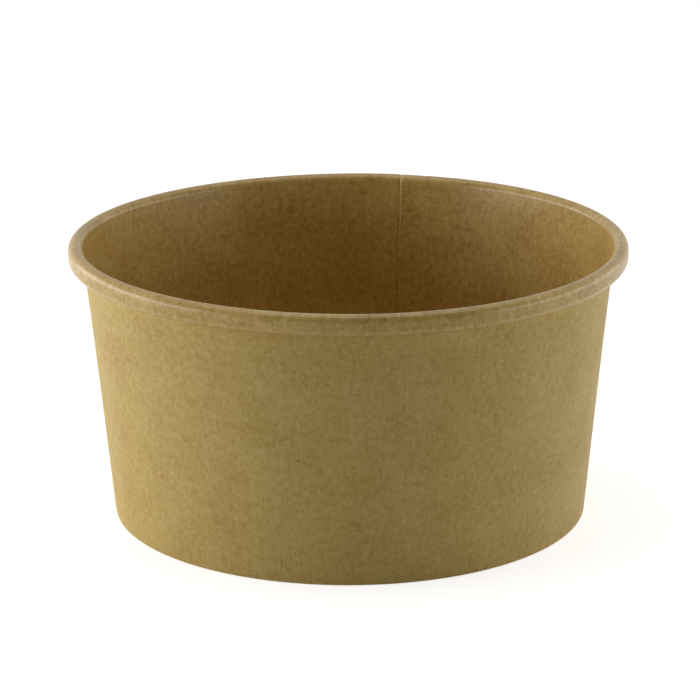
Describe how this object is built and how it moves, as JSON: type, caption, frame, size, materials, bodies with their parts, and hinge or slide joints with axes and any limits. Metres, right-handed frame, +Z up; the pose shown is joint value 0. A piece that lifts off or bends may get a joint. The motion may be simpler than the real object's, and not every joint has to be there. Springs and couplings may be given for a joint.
{
  "type": "kraft salad bowl",
  "caption": "Round kraft paper salad bowl with a tapered wall, a rolled rim, a lap seam and a recessed base disc held in a folded foot.",
  "frame": {"origin": "centre of the foot, on the surface the bowl stands on", "axes": "+Z up along the bowl's axis, +Y to the back of the pictured view, +X to its right"},
  "size_m": [0.1497, 0.15, 0.075],
  "materials": {
    "wall_board": "uncoated kraft board outside, thin clear film inside, matt to satin",
    "base_board": "kraft board with a thin clear film on top, matt to satin"
  },
  "bodies": {
    "root": {"side_wall": "wall_board", "base_disc": "base_board"}
  },
  "joints": []
}
